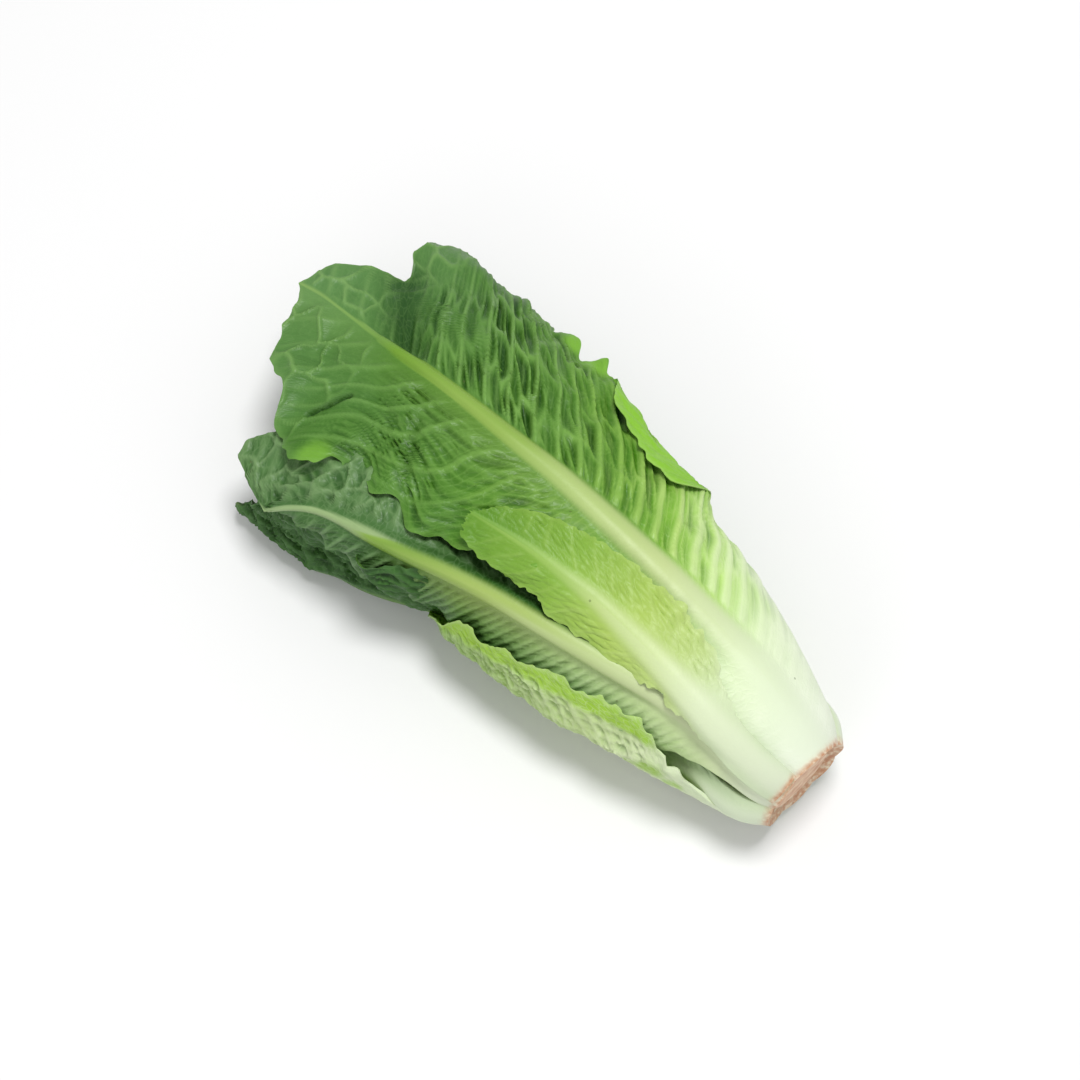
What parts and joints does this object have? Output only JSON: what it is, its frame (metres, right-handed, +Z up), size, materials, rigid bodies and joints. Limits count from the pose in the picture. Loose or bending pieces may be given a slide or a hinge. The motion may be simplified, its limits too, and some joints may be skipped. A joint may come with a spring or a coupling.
{
  "type": "romaine lettuce head",
  "caption": "Cut head of romaine lettuce lying on its side, with long ribbed leaves wrapped in layers round a short stem and a paler heart.",
  "frame": {"origin": "on the ground under the middle of the head: the centre of its bounding box's bottom face", "axes": "+X along the head towards the cut stem, the leaf tips at -X; +Z up, with the top leaf uppermost; +Y across the head"},
  "size_m": [0.3079, 0.1541, 0.0889],
  "materials": {
    "leaf": "satin",
    "rib_leaf": "satin",
    "pale_leaf": "satin",
    "heart": "satin",
    "stem": "satin"
  },
  "bodies": {
    "root": {"stem": "stem", "small_front_leaf": "pale_leaf", "top_leaf": "leaf", "front_leaf": "rib_leaf", "low_front_leaf": "leaf", "near_under_leaf": "rib_leaf", "under_leaf": "leaf", "far_under_leaf": "leaf", "far_leaf": "leaf", "inner_leaf_01": "leaf", "inner_leaf_02": "rib_leaf", "inner_leaf_03": "rib_leaf", "inner_leaf_04": "rib_leaf", "inner_leaf_05": "pale_leaf", "inner_leaf_06": "pale_leaf", "inner_leaf_07": "pale_leaf", "inner_leaf_08": "heart", "inner_leaf_09": "heart", "inner_leaf_10": "heart"}
  },
  "joints": []
}
